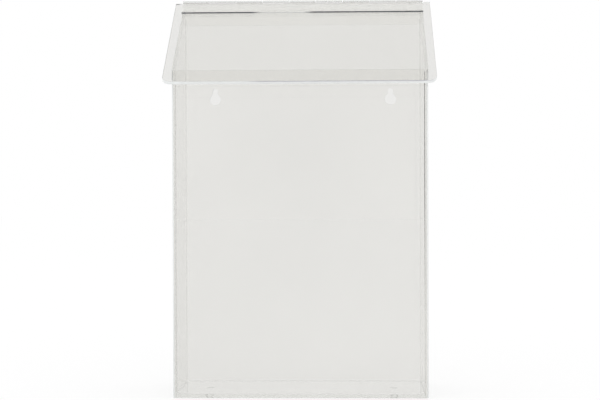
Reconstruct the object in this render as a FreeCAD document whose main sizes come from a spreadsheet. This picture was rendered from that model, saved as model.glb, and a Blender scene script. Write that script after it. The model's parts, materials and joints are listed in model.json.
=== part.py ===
import FreeCAD, Part
import Sketcher
import os

# Clear acrylic box with a sloping hinged lid, hung on a wall by two keyholes.
# Millimetres, +Z up, front towards -Y, origin at the centre of the base underside.

SAME_PLACE = 1e-3
LEAST_CUT = 1.0

DIMENSIONS = [
    ("body_width", 230.0),
    ("body_depth", 94.0),
    ("sheet", 3.0),
    ("cement_line", 0.05),
    ("front_height", 292.9),
    ("back_edge_drop", 9.8),
    ("side_slope", 34.8),
    ("front_edge_round", 2.5),
    ("keyhole_spacing", 168.0),
    ("keyhole_height", 273.2),
    ("keyhole_entry_radius", 5.4),
    ("keyhole_slot_width", 5.0),
    ("keyhole_slot_rise", 8.1),
    ("drain_spacing", 170.0),
    ("drain_radius", 3.5),
    ("lid_slope", 36.3),
    ("lid_seat_gap", 0.3),
    ("lid_side_overhang", 6.8),
    ("lid_front_overhang", 18.9),
    ("lid_corner_radius", 8.0),
    ("barrel_radius", 2.5),
    ("barrel_clearance", 0.6),
    ("pin_radius", 1.0),
    ("fixed_bore_radius", 1.02),
    ("turning_bore_radius", 1.05),
    ("leaf_thickness", 1.5),
    ("back_leaf_reach", 23.0),
    ("lid_leaf_reach", 19.5),
    ("knuckle_count", 9.0),
    ("knuckle_gap", 0.4),
]

# Sizes that follow from the driving ones, as sheet formulas.
DERIVED = [
    ("half_width", "body_width / 2"),
    ("half_depth", "body_depth / 2"),
    ("inner_half_width", "half_width - sheet"),
    ("inner_half_depth", "half_depth - sheet"),
    ("side_half_depth", "inner_half_depth - cement_line"),
    ("base_half_width", "inner_half_width - cement_line"),
    ("side_front_height", "front_height + (half_depth - side_half_depth) * tan(side_slope * 1deg)"),
    ("side_back_height", "front_height + (half_depth + side_half_depth) * tan(side_slope * 1deg)"),
    ("keyhole_half_spacing", "keyhole_spacing / 2"),
    ("keyhole_slot_radius", "keyhole_slot_width / 2"),
    ("keyhole_slot_height", "keyhole_height + keyhole_slot_rise"),
    ("drain_half_spacing", "drain_spacing / 2"),
    ("lid_rise", "body_depth * tan(lid_slope * 1deg) + sheet / cos(lid_slope * 1deg)"),
    ("axis_height", "front_height + lid_seat_gap + lid_rise"),
    ("back_height", "axis_height - back_edge_drop"),
    ("lid_half_width", "half_width + lid_side_overhang"),
    ("lid_reach", "(body_depth + lid_front_overhang) / cos(lid_slope * 1deg)"),
    ("barrel_room", "barrel_radius + barrel_clearance"),
    ("ear_edge", "half_width + barrel_clearance"),
    ("knuckle_pitch", "body_width / knuckle_count"),
    ("knuckle_length", "knuckle_pitch - knuckle_gap"),
    ("fixed_knuckles", "(knuckle_count + 1) / 2"),
    ("turning_knuckles", "(knuckle_count - 1) / 2"),
    ("leaf_outer", "cement_line + leaf_thickness"),
    ("leaf_half_length", "half_width - knuckle_gap / 2"),
]

doc = FreeCAD.newDocument("lidded_wall_box")
dims = doc.addObject("Spreadsheet::Sheet", "dims")


def fill_sheet():
    """Write the driving dimensions and the formulas, one row each."""
    rows = [(name, str(value)) for name, value in DIMENSIONS]
    rows += [(name, "=" + formula) for name, formula in DERIVED]
    for row, (name, text) in enumerate(rows, start=1):
        dims.set(f"A{row}", name)
        dims.set(f"B{row}", text)
        dims.setAlias(f"B{row}", name)
    doc.recompute()


def cells(expression):
    """Turn bare aliases into references to the sheet."""
    words = []
    for word in expression.replace("(", " ( ").replace(")", " ) ").split():
        words.append("dims." + word if word[0].isalpha() else word)
    return " ".join(words)


def value_of(expression):
    """Current number of an expression, to place geometry before it is constrained."""
    result = dims.evalExpression(cells(expression))
    return float(getattr(result, "Value", result))


def new_body(label):
    body = doc.addObject("PartDesign::Body", label)
    body.Label = label
    return body


def new_sketch(body, name, plane, offset):
    """Sketch on one of the body's own origin planes, moved along its normal."""
    sketch = body.newObject("Sketcher::SketchObject", name)
    support = next(item for item in body.Origin.OriginFeatures if item.Role == plane)
    sketch.AttachmentSupport = (support, "")
    sketch.MapMode = "FlatFace"
    sketch.setExpression("AttachmentOffset.Base.z", cells(offset))
    return sketch


def hold_point(sketch, geometry, vertex, place):
    """Tie one point of the sketch to a place given by two expressions."""
    for kind, expression in zip(("DistanceX", "DistanceY"), place):
        number = value_of(expression)
        constraint = Sketcher.Constraint(kind, -1, 1, geometry, vertex, number)
        index = sketch.addConstraint(constraint)
        sketch.setExpression(f"Constraints[{index}]", cells(expression))


def draw_outline(sketch, places):
    """Closed outline of straight lines through places given by expressions."""
    points = [FreeCAD.Vector(value_of(x), value_of(y), 0) for x, y in places]
    lines = []
    for start, end in zip(points, points[1:] + points[:1]):
        lines.append(sketch.addGeometry(Part.LineSegment(start, end)))
    for line, following in zip(lines, lines[1:] + lines[:1]):
        sketch.addConstraint(Sketcher.Constraint("Coincident", line, 2, following, 1))
    for line, place in zip(lines, places):
        hold_point(sketch, line, 1, place)


def draw_circle(sketch, place, radius):
    centre = FreeCAD.Vector(value_of(place[0]), value_of(place[1]), 0)
    up = FreeCAD.Vector(0, 0, 1)
    circle = sketch.addGeometry(Part.Circle(centre, up, value_of(radius)))
    hold_point(sketch, circle, 3, place)
    index = sketch.addConstraint(Sketcher.Constraint("Radius", circle, value_of(radius)))
    sketch.setExpression(f"Constraints[{index}]", cells(radius))


def draw_rectangle(sketch, low, high):
    draw_outline(sketch, [low, (high[0], low[1]), high, (low[0], high[1])])


def pad(body, sketch, length):
    feature = body.newObject("PartDesign::Pad", sketch.Name + "_pad")
    feature.Profile = sketch
    feature.setExpression("Length", cells(length))
    sketch.Visibility = False
    doc.recompute()
    return feature


def cut_through(body, sketch):
    """Pocket through the whole body, on the side of the sketch where the body lies."""
    before = body.Shape.Volume
    feature = body.newObject("PartDesign::Pocket", sketch.Name + "_cut")
    feature.Profile = sketch
    feature.Type = "ThroughAll"
    for backwards in (False, True):
        feature.Reversed = backwards
        doc.recompute()
        if before - body.Shape.Volume > LEAST_CUT:
            return feature
    raise ValueError(f"{sketch.Name} removes nothing")


def vertical_edges_at(shape, depth):
    """Names of the upright edges in the plane y = depth."""
    names = []
    for number, edge in enumerate(shape.Edges, start=1):
        box = edge.BoundBox
        upright = box.ZLength > box.XLength + box.YLength
        if upright and abs(box.YMin - depth) < SAME_PLACE:
            names.append(f"Edge{number}")
    return names


def make_front_panel():
    """Front sheet over the full width, its outer upright edges rounded over."""
    body = new_body("front_panel")
    outline = new_sketch(body, "front_outline", "XZ_Plane", "inner_half_depth")
    draw_rectangle(outline, ("0 - half_width", "0"), ("half_width", "front_height"))
    sheet = pad(body, outline, "sheet")
    rounding = body.newObject("PartDesign::Fillet", "front_edge_rounding")
    rounding.Base = (sheet, vertical_edges_at(body.Shape, -value_of("half_depth")))
    rounding.setExpression("Radius", cells("front_edge_round"))
    doc.recompute()
    return body


def make_back_panel():
    """Back sheet with a pair of keyholes: round entry below, narrow slot above."""
    body = new_body("back_panel")
    outline = new_sketch(body, "back_outline", "XZ_Plane", "0 - half_depth")
    draw_rectangle(outline, ("0 - half_width", "0"), ("half_width", "back_height"))
    pad(body, outline, "sheet")
    entries = new_sketch(body, "keyhole_entries", "XZ_Plane", "0 - half_depth")
    slots = new_sketch(body, "keyhole_slots", "XZ_Plane", "0 - half_depth")
    slot_ends = new_sketch(body, "keyhole_slot_ends", "XZ_Plane", "0 - half_depth")
    for side in ("0 - keyhole_half_spacing", "0 + keyhole_half_spacing"):
        draw_circle(entries, (side, "keyhole_height"), "keyhole_entry_radius")
        low = (side + " - keyhole_slot_radius", "keyhole_height")
        high = (side + " + keyhole_slot_radius", "keyhole_slot_height")
        draw_rectangle(slots, low, high)
        draw_circle(slot_ends, (side, "keyhole_slot_height"), "keyhole_slot_radius")
    for sketch in (entries, slots, slot_ends):
        cut_through(body, sketch)
    return body


def make_side_panel(label, start):
    """Side sheet between front and back, its top edge sloping down to the front."""
    body = new_body(label)
    outline = new_sketch(body, label + "_outline", "YZ_Plane", start)
    draw_outline(outline, [
        ("0 - side_half_depth", "0"),
        ("side_half_depth", "0"),
        ("side_half_depth", "side_back_height"),
        ("0 - side_half_depth", "side_front_height"),
    ])
    pad(body, outline, "sheet")
    return body


def make_base_panel():
    """Base sheet set between the four walls, with two drain holes."""
    body = new_body("base_panel")
    outline = new_sketch(body, "base_outline", "XY_Plane", "0")
    low = ("0 - base_half_width", "0 - side_half_depth")
    draw_rectangle(outline, low, ("base_half_width", "side_half_depth"))
    pad(body, outline, "sheet")
    drains = new_sketch(body, "drain_holes", "XY_Plane", "0")
    for side in ("0 - drain_half_spacing", "0 + drain_half_spacing"):
        draw_circle(drains, (side, "0"), "drain_radius")
    cut_through(body, drains)
    return body


def place_on_hinge(body, slope):
    """Put a body drawn about the hinge axis in place, turned about that axis."""
    body.Placement = FreeCAD.Placement(
        FreeCAD.Vector(0, 0, 0), FreeCAD.Rotation(FreeCAD.Vector(1, 0, 0), 1.0))
    body.setExpression("Placement.Base.y", cells("half_depth"))
    body.setExpression("Placement.Base.z", cells("axis_height"))
    body.setExpression("Placement.Rotation.Angle", cells(slope))
    doc.recompute()


def make_lid_panel():
    """Lid sheet drawn flat about the hinge axis, notched between its ears for the barrel."""
    body = new_body("lid_panel")
    outline = new_sketch(body, "lid_outline", "XY_Plane", "0 - sheet")
    draw_outline(outline, [
        ("0 - lid_half_width", "0 - lid_reach"),
        ("lid_half_width", "0 - lid_reach"),
        ("lid_half_width", "0"),
        ("ear_edge", "0"),
        ("ear_edge", "0 - barrel_room"),
        ("0 - ear_edge", "0 - barrel_room"),
        ("0 - ear_edge", "0"),
        ("0 - lid_half_width", "0"),
    ])
    sheet = pad(body, outline, "sheet")
    corners = vertical_edges_at(body.Shape, -value_of("lid_reach"))
    rounding = body.newObject("PartDesign::Fillet", "lid_corner_rounding")
    rounding.Base = (sheet, corners)
    rounding.setExpression("Radius", cells("lid_corner_radius"))
    doc.recompute()
    place_on_hinge(body, "lid_slope * 1")
    return body


def make_leaf(label, reach, side, first, count, bore, slope):
    """Hinge leaf drawn about the hinge axis: plate, then a row of necked knuckles, then the bore."""
    body = new_body(label)
    low_face, high_face = side + " cement_line", side + " leaf_outer"
    plate = new_sketch(body, label + "_plate", "YZ_Plane", "0 - leaf_half_length")
    draw_rectangle(plate, ("0 - " + reach, low_face), ("0 - barrel_room", high_face))
    pad(body, plate, "leaf_half_length * 2")
    start = f"0 - half_width + knuckle_gap / 2 + {first} * knuckle_pitch"
    neck = new_sketch(body, label + "_neck", "YZ_Plane", start)
    draw_rectangle(neck, ("0 - barrel_room", low_face), ("0", high_face))
    neck_pad = pad(body, neck, "knuckle_length")
    ring = new_sketch(body, label + "_ring", "YZ_Plane", start)
    draw_circle(ring, ("0", "0"), "barrel_radius")
    ring_pad = pad(body, ring, "knuckle_length")
    row = body.newObject("PartDesign::LinearPattern", label + "_row")
    row.Originals = [neck_pad, ring_pad]
    along = next(item for item in body.Origin.OriginFeatures if item.Role == "X_Axis")
    row.Direction = (along, [""])
    row.setExpression("Occurrences", cells(count))
    row.setExpression("Length", cells(f"( {count} - 1 ) * 2 * knuckle_pitch"))
    body.Tip = row
    doc.recompute()
    hole = new_sketch(body, label + "_bore", "YZ_Plane", "0 - half_width")
    draw_circle(hole, ("0", "0"), bore)
    cut_through(body, hole)
    place_on_hinge(body, slope)
    return body


def make_pin():
    """Plain pin through every knuckle."""
    pin = doc.addObject("Part::Cylinder", "hinge_pin")
    pin.Label = "hinge_pin"
    pin.setExpression("Radius", cells("pin_radius"))
    pin.setExpression("Height", cells("leaf_half_length * 2"))
    pin.Placement = FreeCAD.Placement(
        FreeCAD.Vector(0, 0, 0), FreeCAD.Rotation(FreeCAD.Vector(0, 1, 0), 90.0))
    pin.setExpression("Placement.Base.x", cells("0 - leaf_half_length"))
    pin.setExpression("Placement.Base.y", cells("half_depth"))
    pin.setExpression("Placement.Base.z", cells("axis_height"))
    doc.recompute()
    return pin


def write_parts(parts):
    """Check every object and every solid, then write one file per sub-part."""
    doc.recompute()
    for item in doc.Objects:
        if "Invalid" in item.State or "Error" in item.State:
            raise ValueError(f"{item.Name} failed: {item.State}")
    os.makedirs("parts", exist_ok=True)
    for part in parts:
        shape = part.Shape
        if shape.isNull() or not shape.isValid():
            raise ValueError(f"{part.Label} has no valid shape")
        shape.exportStep(f"parts/{part.Label}.step")
        box = shape.BoundBox
        size = f"{box.XLength:.1f} x {box.YLength:.1f} x {box.ZLength:.1f}"
        print(f"{part.Label}: {len(shape.Solids)} solid, {size} mm, {shape.Volume:.0f} mm3")


fill_sheet()
write_parts([
    make_front_panel(),
    make_back_panel(),
    make_side_panel("left_side_panel", "0 - half_width"),
    make_side_panel("right_side_panel", "inner_half_width"),
    make_base_panel(),
    make_lid_panel(),
    make_leaf("hinge_back_leaf", "back_leaf_reach", "0 -", "0", "fixed_knuckles",
              "fixed_bore_radius", "90"),
    make_leaf("hinge_lid_leaf", "lid_leaf_reach", "0 +", "1", "turning_knuckles",
              "turning_bore_radius", "lid_slope * 1"),
    make_pin(),
])
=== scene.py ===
import json
import math

import bmesh
import bpy
from mathutils import Matrix, Vector


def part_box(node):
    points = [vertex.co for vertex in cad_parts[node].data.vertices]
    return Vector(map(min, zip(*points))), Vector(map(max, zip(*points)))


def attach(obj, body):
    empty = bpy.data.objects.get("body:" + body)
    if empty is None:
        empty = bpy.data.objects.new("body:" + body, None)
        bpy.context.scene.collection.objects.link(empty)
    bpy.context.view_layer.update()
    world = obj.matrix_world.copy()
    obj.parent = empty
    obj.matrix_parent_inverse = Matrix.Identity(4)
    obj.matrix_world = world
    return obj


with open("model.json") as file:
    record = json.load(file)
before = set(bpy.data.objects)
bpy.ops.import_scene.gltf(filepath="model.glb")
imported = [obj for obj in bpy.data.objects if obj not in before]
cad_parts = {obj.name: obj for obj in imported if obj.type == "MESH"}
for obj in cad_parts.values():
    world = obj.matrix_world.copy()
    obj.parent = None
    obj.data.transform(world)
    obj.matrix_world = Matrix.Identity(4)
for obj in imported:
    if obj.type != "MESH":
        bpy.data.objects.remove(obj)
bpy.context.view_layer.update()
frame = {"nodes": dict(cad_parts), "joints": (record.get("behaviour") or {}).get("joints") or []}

# Lengths are in metres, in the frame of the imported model: +Z up, front towards -Y.
MM = 0.001
SHEET_THICKNESS = 3 * MM

# Camera, fitted to the outline of the box in the photograph. Angles are in degrees.
IMAGE_WIDTH = 600
SENSOR_WIDTH_MM = 36.0
FOCAL_PIXELS = 1420.7
CAMERA_PLACE = (0.04152, -1.31884, 0.19385)
CAMERA_YAW = -1.870
CAMERA_PITCH = -0.723
CAMERA_ROLL = -0.190

# How much light each sheet and hinge leaf lets through, a little less in blue.
LID_TINT = (0.772, 0.768, 0.750)
FRONT_TINT = (0.825, 0.821, 0.807)
BACK_TINT = (0.945, 0.942, 0.928)
SIDE_TINT = (0.870, 0.866, 0.850)
BASE_TINT = (0.990, 0.989, 0.982)
LID_LEAF_TINT = (0.980, 0.978, 0.965)
BACK_LEAF_TINT = (0.985, 0.983, 0.972)
BARREL_TINT = (0.800, 0.800, 0.792)

# Edges of the sheets: sawn ones, which are milky, and the clear rest.
EDGE_TINT = (0.850, 0.866, 0.862)
JOINT_TINT = (0.935, 0.941, 0.934)

# Surface of the acrylic: wipe marks that dull it a little, turned in radians, and a slight waviness.
ACRYLIC_IOR = 1.49
WIPE_STRETCH = (4.0, 4.0, 45.0)
WIPE_TURN = (0.0, 0.5, 0.0)
WIPE_SHARE = (0.52, 0.80)
WIPE_ROUGHNESS = 0.05
WAVE_STRENGTH = 0.012
WAVE_HEIGHT = 0.4 * MM

# Painted shade: a dark line painted on the lower end of the lid's hinge leaf, and the stretch along X that
# is left clear of it.
SHADOW_LINE_TINT = (0.090, 0.094, 0.108)
SHADOW_GAP = (-43 * MM, 6 * MM)
SHADOW_GAP_FADE = 5 * MM

# Painted light: the top of the front sheet, behind the overhanging lid, is made clearer than the rest of
# it, so the overlap with the lid looks lighter.
COVERED_PAINTED_LIGHT_TINT = (0.932, 0.928, 0.913)
COVERED_BY_LID = 11 * MM
COVERED_FADE = 2 * MM

# The neck of the back leaf, between the back sheet and the hinge's barrel, is darker than the leaf.
NECK_TINT = (0.875, 0.873, 0.863)
NECK_FADE = 0.5 * MM

# Painted shade: a fine dark line painted below the upper arris of the lid's front edge, over this stretch
# along X.
LID_SHADE_LINE_TINT = (0.500, 0.490, 0.545)
LID_LINE = (-40 * MM, 114 * MM)
LID_LINE_FADE = 6 * MM
LID_LINE_WIDTH = 0.55 * MM
LID_LINE_BLUR = 0.1 * MM

# Which faces get which material, by limits on the parts of a face's normal.
BROAD_FACE = 0.9
END_FACE = 0.95
ROUNDED_FACE = 0.05
NO_EDGE = 1.1
EVERY_EDGE = -1.1

# Which faces get which material, by where they lie.
LID_NOTCH_ZONE = 8 * MM
END_DEPTH = 0.3 * MM
BARREL_REACH = 2.6 * MM
FAR_BEHIND = 1.0

# Eased edges, where a sheet turns by more than an angle in degrees. The sheets with holes have none.
PIERCED_SHEETS = ("back_panel", "base_panel")
EASED_EDGE = 0.15 * MM
EASED_ANGLE = 40
WELD_DISTANCE = 0.002 * MM

# Cement beads in the inside corners. The upright ones stop short of the top of the sheets.
CEMENT_TINT = (0.975, 0.978, 0.975)
CEMENT_RADIUS = 0.7 * MM
CEMENT_CLEARANCE = 0.03 * MM
CEMENT_STEPS = 5
FRONT_CEMENT_STOP = 2 * MM
BACK_CEMENT_STOP = 8 * MM

# The right front bead is painted dark, as painted shade along the right front corner, but below this
# height it is as pale as the left one.
FRONT_CEMENT_AND_SHADE_TINTS = {"left": (0.860, 0.862, 0.855), "right": (0.330, 0.322, 0.325)}
PALE_CEMENT_HEIGHT = 130 * MM
PALE_CEMENT_FADE = 50 * MM

# Floor and lamps. Each lamp has a place, a size and a power in watts.
FLOOR_HALF_WIDTH = 6.0
FLOOR_DROP = 0.2 * MM
FLOOR_ROUGHNESS = 0.9
FLOOR_GLOW = 0.85
LAMPS = {
    "key": ((-1.1, -1.2, 1.8), 1.4, 1.0),
    "fill": ((1.4, -0.9, 1.3), 1.4, 0.5),
    "top": ((0.0, 0.9, 2.0), 1.6, 0.8),
}
LAMP_TARGET = (0.0, 0.0, 0.18)

# How many times light is followed as it bounces inside the sheets.
MOST_BOUNCES = 36

# Sockets of a Mix node that mixes colours.
MIX_A = 6
MIX_B = 7
MIX_RESULT = 2


def add_node(tree, kind, inputs=None, **settings):
    """Add a shader node with its settings and input values."""
    node = tree.nodes.new(kind)
    for name, value in settings.items():
        setattr(node, name, value)
    for name, value in (inputs or {}).items():
        node.inputs[name].default_value = value
    return node


def acrylic(name, tint, smear, smear_scale, roughness=0.0, clearness=1.0):
    """Clear acrylic with faint smears, wipe marks and a slight waviness in its surface."""
    material = bpy.data.materials.new(name)
    material.use_nodes = True
    tree = material.node_tree
    link = tree.links.new
    shader = tree.nodes["Principled BSDF"]
    shader.inputs["Transmission Weight"].default_value = clearness
    shader.inputs["IOR"].default_value = ACRYLIC_IOR
    place = add_node(tree, "ShaderNodeTexCoord")

    clouds = add_node(tree, "ShaderNodeTexNoise", {"Scale": smear_scale, "Detail": 3.0})
    link(place.outputs["Object"], clouds.inputs["Vector"])
    colour = add_node(tree, "ShaderNodeMix", data_type="RGBA")
    colour.inputs[MIX_A].default_value = (*[c * (1 - smear) for c in tint], 1)
    colour.inputs[MIX_B].default_value = (*[min(1, c * (1 + smear)) for c in tint], 1)
    link(clouds.outputs["Fac"], colour.inputs["Factor"])
    link(colour.outputs[MIX_RESULT], shader.inputs["Base Color"])

    wipe = add_node(tree, "ShaderNodeMapping", {"Scale": WIPE_STRETCH, "Rotation": WIPE_TURN})
    link(place.outputs["Object"], wipe.inputs["Vector"])
    streaks = add_node(tree, "ShaderNodeTexNoise", {"Scale": 6.0, "Detail": 6.0, "Roughness": 0.65})
    link(wipe.outputs["Vector"], streaks.inputs["Vector"])
    haze = add_node(tree, "ShaderNodeMapRange", {
        "From Min": WIPE_SHARE[0],
        "From Max": WIPE_SHARE[1],
        "To Min": roughness,
        "To Max": roughness + WIPE_ROUGHNESS,
    })
    link(streaks.outputs["Fac"], haze.inputs["Value"])
    link(haze.outputs["Result"], shader.inputs["Roughness"])

    waves = add_node(tree, "ShaderNodeTexNoise", {"Scale": 9.0, "Detail": 1.0})
    link(place.outputs["Object"], waves.inputs["Vector"])
    bump = add_node(tree, "ShaderNodeBump", {"Strength": WAVE_STRENGTH, "Distance": WAVE_HEIGHT})
    link(waves.outputs["Fac"], bump.inputs["Height"])
    link(bump.outputs["Normal"], shader.inputs["Normal"])
    return material


def sawn_acrylic(name):
    """Sawn edge of a sheet, dull and milky."""
    return acrylic(name, EDGE_TINT, smear=0.03, smear_scale=60.0, roughness=0.12, clearness=0.15)


def tint_stretch(material, axis, stretch, fade, tint):
    """Give a material another tint over one stretch along an axis, fading at both ends."""
    tree = material.node_tree
    link = tree.links.new
    shader = tree.nodes["Principled BSDF"]
    usual = shader.inputs["Base Color"].links[0].from_socket
    place = add_node(tree, "ShaderNodeTexCoord")
    parts = add_node(tree, "ShaderNodeSeparateXYZ")
    link(place.outputs["Object"], parts.inputs["Vector"])
    offset = add_node(tree, "ShaderNodeMath", operation="SUBTRACT")
    offset.inputs[1].default_value = (stretch[0] + stretch[1]) / 2
    link(parts.outputs[axis], offset.inputs[0])
    distance = add_node(tree, "ShaderNodeMath", operation="ABSOLUTE")
    link(offset.outputs[0], distance.inputs[0])
    half = (stretch[1] - stretch[0]) / 2
    inside = add_node(tree, "ShaderNodeMapRange", {
        "From Min": half - fade,
        "From Max": half + fade,
        "To Min": 1.0,
        "To Max": 0.0,
    })
    link(distance.outputs[0], inside.inputs["Value"])
    colour = add_node(tree, "ShaderNodeMix", data_type="RGBA")
    colour.inputs[MIX_B].default_value = (*tint, 1)
    link(inside.outputs["Result"], colour.inputs["Factor"])
    link(usual, colour.inputs[MIX_A])
    link(colour.outputs[MIX_RESULT], shader.inputs["Base Color"])


def set_materials(piece, materials):
    """Put materials in a piece's slots, in this order."""
    piece.data.materials.clear()
    for material in materials:
        piece.data.materials.append(material)


def ease_edges(piece):
    """Round the sharp edges of a sheet very slightly."""
    weld = piece.modifiers.new("weld", "WELD")
    weld.merge_threshold = WELD_DISTANCE
    ease = piece.modifiers.new("eased_edges", "BEVEL")
    ease.width = EASED_EDGE
    ease.segments = 2
    ease.limit_method = "ANGLE"
    ease.angle_limit = math.radians(EASED_ANGLE)


def dress_sheet(node, face, sawn, joint, face_normal, sawn_from, clear_behind=FAR_BEHIND):
    """Give a sheet its materials: broad faces, sawn edges and the other edges.

    An edge in front of clear_behind is sawn where it looks up by more than sawn_from, or where it rounds
    a corner of a sheet without holes.
    """
    piece = frame["nodes"][node]
    set_materials(piece, (face, sawn, joint))
    normal = Vector(face_normal).normalized()
    is_pierced = node in PIERCED_SHEETS
    for polygon in piece.data.polygons:
        is_rounded = min(abs(polygon.normal.x), abs(polygon.normal.y)) > ROUNDED_FACE
        is_sawn = polygon.normal.z > sawn_from or (is_rounded and not is_pierced)
        if abs(polygon.normal.dot(normal)) > BROAD_FACE:
            polygon.material_index = 0
        elif is_sawn and polygon.center.y < clear_behind:
            polygon.material_index = 1
        else:
            polygon.material_index = 2
    if not is_pierced:
        ease_edges(piece)


def dress_body(sawn, joint):
    """Materials for the five cemented sheets."""
    front = acrylic("acrylic_front", FRONT_TINT, smear=0.045, smear_scale=6.0)
    front_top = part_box("front_panel")[1][2]
    covered = (front_top - COVERED_BY_LID, front_top + COVERED_BY_LID)
    # Painted light: the front sheet is made clearer where the lid overlaps it.
    tint_stretch(front, "Z", covered, COVERED_FADE, COVERED_PAINTED_LIGHT_TINT)
    dress_sheet("front_panel", front, sawn, joint, (0, 1, 0), sawn_from=0.5)
    back = acrylic("acrylic_back", BACK_TINT, smear=0.010, smear_scale=11.0)
    dress_sheet("back_panel", back, sawn, joint, (0, 1, 0), sawn_from=0.9)
    side = acrylic("acrylic_side", SIDE_TINT, smear=0.010, smear_scale=17.0)
    for node in ("left_side_panel", "right_side_panel"):
        dress_sheet(node, side, sawn, joint, (1, 0, 0), sawn_from=NO_EDGE)
    base = acrylic("acrylic_base", BASE_TINT, smear=0.010, smear_scale=15.0)
    dress_sheet("base_panel", base, sawn, joint, (0, 0, 1), sawn_from=NO_EDGE)


def lid_slope():
    """Slope of the closed lid."""
    low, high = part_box("lid_panel")
    return math.atan2(high[2] - low[2], high[1] - low[1])


def dress_lid(joint):
    """Materials for the lid, with the fine dark line of painted shade on its front edge."""
    low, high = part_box("lid_panel")
    slope = lid_slope()
    lid = acrylic("acrylic_lid", LID_TINT, smear=0.012, smear_scale=13.0)
    sawn = sawn_acrylic("acrylic_lid_edge")
    # Painted shade: a dark line on the lid's sawn front edge, plain outside the LID_LINE stretch.
    arris = low[2] + SHEET_THICKNESS * math.cos(slope)
    line = (arris - LID_LINE_WIDTH, arris + LID_LINE_WIDTH)
    tint_stretch(sawn, "Z", line, LID_LINE_BLUR, LID_SHADE_LINE_TINT)
    for plain in ((2 * low[0], LID_LINE[0]), (LID_LINE[1], 2 * high[0])):
        tint_stretch(sawn, "X", plain, LID_LINE_FADE, EDGE_TINT)
    normal = (0, -math.sin(slope), math.cos(slope))
    notches = high[1] - LID_NOTCH_ZONE
    dress_sheet("lid_panel", lid, sawn, joint, normal, sawn_from=EVERY_EDGE, clear_behind=notches)


def dress_hinge_piece(node, plate, end, end_normal, barrel):
    """Give a hinge piece its materials: plate, the end that lies furthest one way, and barrel."""
    piece = frame["nodes"][node]
    set_materials(piece, (plate, end, barrel))
    axis = Vector(frame["joints"][0]["pos_m"])
    normal = Vector(end_normal).normalized()
    reach = max(polygon.center.dot(normal) for polygon in piece.data.polygons)
    for polygon in piece.data.polygons:
        looks_out = polygon.normal.dot(normal) > END_FACE
        if looks_out and polygon.center.dot(normal) > reach - END_DEPTH:
            polygon.material_index = 1
        elif (polygon.center - axis).yz.length < BARREL_REACH:
            polygon.material_index = 2
        else:
            polygon.material_index = 0


def dress_hinge(sawn, joint):
    """Materials for the two leaves of the hinge and its pin."""
    slope = lid_slope()
    barrel = acrylic("acrylic_barrel", BARREL_TINT, smear=0.020, smear_scale=40.0, roughness=0.01)
    back_leaf = acrylic("acrylic_back_leaf", BACK_LEAF_TINT, smear=0.008, smear_scale=40.0, roughness=0.01)
    neck = (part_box("back_panel")[1][2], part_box("hinge_back_leaf")[1][2])
    tint_stretch(back_leaf, "Z", neck, NECK_FADE, NECK_TINT)
    dress_hinge_piece("hinge_back_leaf", back_leaf, joint, (0, 0, -1), barrel)
    lid_leaf = acrylic("acrylic_lid_leaf", LID_LEAF_TINT, smear=0.020, smear_scale=40.0, roughness=0.01)
    # Painted shade: the lower end face of the lid's leaf is painted dark, except over the clear stretch.
    shadow_line = acrylic("acrylic_shadow_line", SHADOW_LINE_TINT, smear=0.30, smear_scale=35.0,
                          roughness=0.10, clearness=0.4)
    tint_stretch(shadow_line, "X", SHADOW_GAP, SHADOW_GAP_FADE, LID_LEAF_TINT)
    down_slope = (0, -math.cos(slope), -math.sin(slope))
    dress_hinge_piece("hinge_lid_leaf", lid_leaf, shadow_line, down_slope, barrel)
    dress_hinge_piece("hinge_pin", lid_leaf, sawn, (1, 0, 0), lid_leaf)


def dress_box():
    """Materials for the whole box."""
    sawn = sawn_acrylic("acrylic_edge")
    joint = acrylic("acrylic_joint", JOINT_TINT, smear=0.010, smear_scale=30.0)
    dress_body(sawn, joint)
    dress_lid(joint)
    dress_hinge(sawn, joint)


def make_outward(piece):
    """Turn every face of a closed mesh outwards."""
    shape = bmesh.new()
    shape.from_mesh(piece.data)
    bmesh.ops.recalc_face_normals(shape, faces=shape.faces)
    shape.to_mesh(piece.data)
    shape.free()


def cement_bead(name, start, end, arms, material):
    """Thin hollow-faced fillet of cement along an inside corner, between two walls."""
    first, second = (Vector(arm) for arm in arms)
    corner = (first + second) * CEMENT_CLEARANCE
    profile = [corner]
    for step in range(CEMENT_STEPS + 1):
        turn = math.radians(90) * step / CEMENT_STEPS
        across = 1 - math.sin(turn)
        up = 1 - math.cos(turn)
        profile.append(corner + CEMENT_RADIUS * (first * across + second * up))
    points = [Vector(place) + point for place in (start, end) for point in profile]
    count = len(profile)
    faces = [tuple(range(count)), tuple(range(2 * count - 1, count - 1, -1))]
    for index in range(count):
        following = (index + 1) % count
        faces.append((index, index + count, following + count, following))
    mesh = bpy.data.meshes.new(name)
    mesh.from_pydata([tuple(point) for point in points], [], faces)
    mesh.validate()
    piece = bpy.data.objects.new(name, mesh)
    bpy.context.scene.collection.objects.link(piece)
    make_outward(piece)
    mesh.materials.append(material)
    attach(piece, "box")


def front_cement(side):
    """Cement of the left or right front corner, pale near the base; the right one is dark above that, as
    painted shade.
    """
    material = acrylic(f"cement_{side}", FRONT_CEMENT_AND_SHADE_TINTS[side], smear=0.20, smear_scale=9.0)
    pale = (-PALE_CEMENT_HEIGHT, PALE_CEMENT_HEIGHT)
    tint_stretch(material, "Z", pale, PALE_CEMENT_FADE, FRONT_CEMENT_AND_SHADE_TINTS["left"])
    return material


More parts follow.
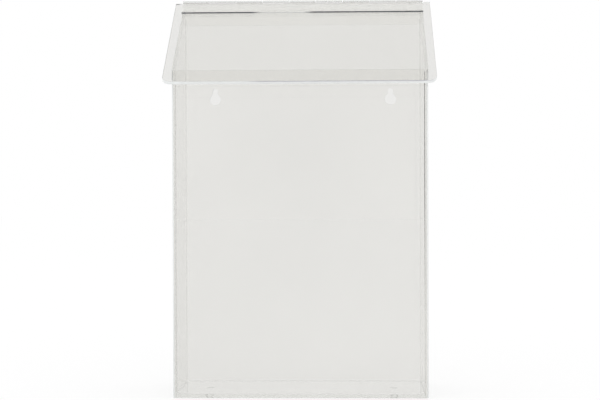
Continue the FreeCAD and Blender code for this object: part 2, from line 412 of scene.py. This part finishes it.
def add_cement():
    """Cement beads along the inside corners, as a fabricator leaves them."""
    clear = acrylic("cement_clear", CEMENT_TINT, smear=0.010, smear_scale=30.0)
    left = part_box("left_side_panel")[1][0]
    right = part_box("right_side_panel")[0][0]
    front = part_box("front_panel")[1][1]
    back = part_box("back_panel")[0][1]
    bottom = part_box("base_panel")[1][2]
    front_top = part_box("front_panel")[1][2] - FRONT_CEMENT_STOP
    back_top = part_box("left_side_panel")[1][2] - BACK_CEMENT_STOP
    inset = 2 * CEMENT_RADIUS
    x = Vector((1, 0, 0))
    y = Vector((0, 1, 0))
    z = Vector((0, 0, 1))
    for name, depth, inward in (("front", front, y), ("back", back, -y)):
        start = (left + inset, depth, bottom)
        end = (right - inset, depth, bottom)
        cement_bead(f"cement_base_{name}", start, end, (inward, z), clear)
    for name, across, inward in (("left", left, x), ("right", right, -x)):
        start = (across, front + inset, bottom)
        end = (across, back - inset, bottom)
        cement_bead(f"cement_base_{name}", start, end, (inward, z), clear)
        uprights = (
            ("front", front, y, front_top, front_cement(name)),
            ("back", back, -y, back_top, clear),
        )
        for place, depth, deeper, top, material in uprights:
            start = (across, depth, bottom + inset)
            end = (across, depth, top)
            cement_bead(f"cement_{name}_{place}", start, end, (inward, deeper), material)


def seen_by_eye(tree):
    """One for rays from the camera, also when a mirror or clear sheet passes them on."""
    path = add_node(tree, "ShaderNodeLightPath")
    passed_on = add_node(tree, "ShaderNodeMath", operation="MAXIMUM")
    tree.links.new(path.outputs["Is Glossy Ray"], passed_on.inputs[0])
    tree.links.new(path.outputs["Is Transmission Ray"], passed_on.inputs[1])
    seen = add_node(tree, "ShaderNodeMath", operation="MAXIMUM")
    tree.links.new(path.outputs["Is Camera Ray"], seen.inputs[0])
    tree.links.new(passed_on.outputs[0], seen.inputs[1])
    return seen.outputs[0]


def floor_paper():
    """White paper that keeps a faint shadow."""
    material = bpy.data.materials.new("floor_paper")
    material.use_nodes = True
    tree = material.node_tree
    shader = tree.nodes["Principled BSDF"]
    shader.inputs["Base Color"].default_value = (1, 1, 1, 1)
    shader.inputs["Roughness"].default_value = FLOOR_ROUGHNESS
    shader.inputs["Specular IOR Level"].default_value = 0.0
    glow = add_node(tree, "ShaderNodeEmission", {"Strength": 1.0})
    share = add_node(tree, "ShaderNodeMath", operation="MULTIPLY")
    share.inputs[1].default_value = FLOOR_GLOW
    tree.links.new(seen_by_eye(tree), share.inputs[0])
    mix = add_node(tree, "ShaderNodeMixShader")
    tree.links.new(share.outputs[0], mix.inputs["Fac"])
    tree.links.new(shader.outputs["BSDF"], mix.inputs[1])
    tree.links.new(glow.outputs["Emission"], mix.inputs[2])
    tree.links.new(mix.outputs["Shader"], tree.nodes["Material Output"].inputs["Surface"])
    return material


def add_stage():
    """Plain pale floor, white to the eye where no shadow falls."""
    half = FLOOR_HALF_WIDTH
    mesh = bpy.data.meshes.new("floor")
    corners = [(-half, -half, 0), (half, -half, 0), (half, half, 0), (-half, half, 0)]
    mesh.from_pydata(corners, [], [(0, 1, 2, 3)])
    floor = bpy.data.objects.new("floor", mesh)
    floor.location.z = -FLOOR_DROP
    bpy.context.scene.collection.objects.link(floor)
    mesh.materials.append(floor_paper())


def add_world():
    """Even white room, the same from every side."""
    world = bpy.data.worlds.new("studio")
    bpy.context.scene.world = world
    world.use_nodes = True
    background = world.node_tree.nodes["Background"]
    background.inputs["Color"].default_value = (1, 1, 1, 1)
    background.inputs["Strength"].default_value = 1.0


def add_lights():
    """Large weak lamps, all aimed at the middle of the box."""
    for name, (place, size, watts) in LAMPS.items():
        lamp = bpy.data.lights.new(name, "AREA")
        lamp.size = size
        lamp.energy = watts
        holder = bpy.data.objects.new(name, lamp)
        holder.location = place
        aim = Vector(LAMP_TARGET) - Vector(place)
        holder.rotation_euler = aim.to_track_quat("-Z", "Y").to_euler()
        bpy.context.scene.collection.objects.link(holder)


def let_light_out():
    """Follow light through as many reflections inside a sheet as it needs to get out."""
    paths = bpy.context.scene.cycles
    paths.max_bounces = MOST_BOUNCES
    paths.glossy_bounces = MOST_BOUNCES
    paths.transmission_bounces = MOST_BOUNCES


def add_camera():
    """Camera at the photograph's viewing angle."""
    yaw = math.radians(CAMERA_YAW)
    pitch = math.radians(CAMERA_PITCH)
    roll = math.radians(CAMERA_ROLL)
    ahead = Vector((math.sin(yaw) * math.cos(pitch), math.cos(yaw) * math.cos(pitch), math.sin(pitch)))
    level = Vector((math.cos(yaw), -math.sin(yaw), 0))
    upright = level.cross(ahead)
    right = math.cos(roll) * level + math.sin(roll) * upright
    up = math.cos(roll) * upright - math.sin(roll) * level
    data = bpy.data.cameras.new("camera")
    data.sensor_fit = "HORIZONTAL"
    data.sensor_width = SENSOR_WIDTH_MM
    data.lens = FOCAL_PIXELS * SENSOR_WIDTH_MM / IMAGE_WIDTH
    camera = bpy.data.objects.new("camera", data)
    turn = Matrix((right, up, -ahead)).transposed().to_4x4()
    camera.matrix_world = Matrix.Translation(CAMERA_PLACE) @ turn
    bpy.context.scene.collection.objects.link(camera)
    bpy.context.scene.camera = camera


dress_box()
add_cement()
add_stage()
add_world()
add_lights()
let_light_out()
add_camera()
bpy.context.scene.view_settings.view_transform = "Standard"
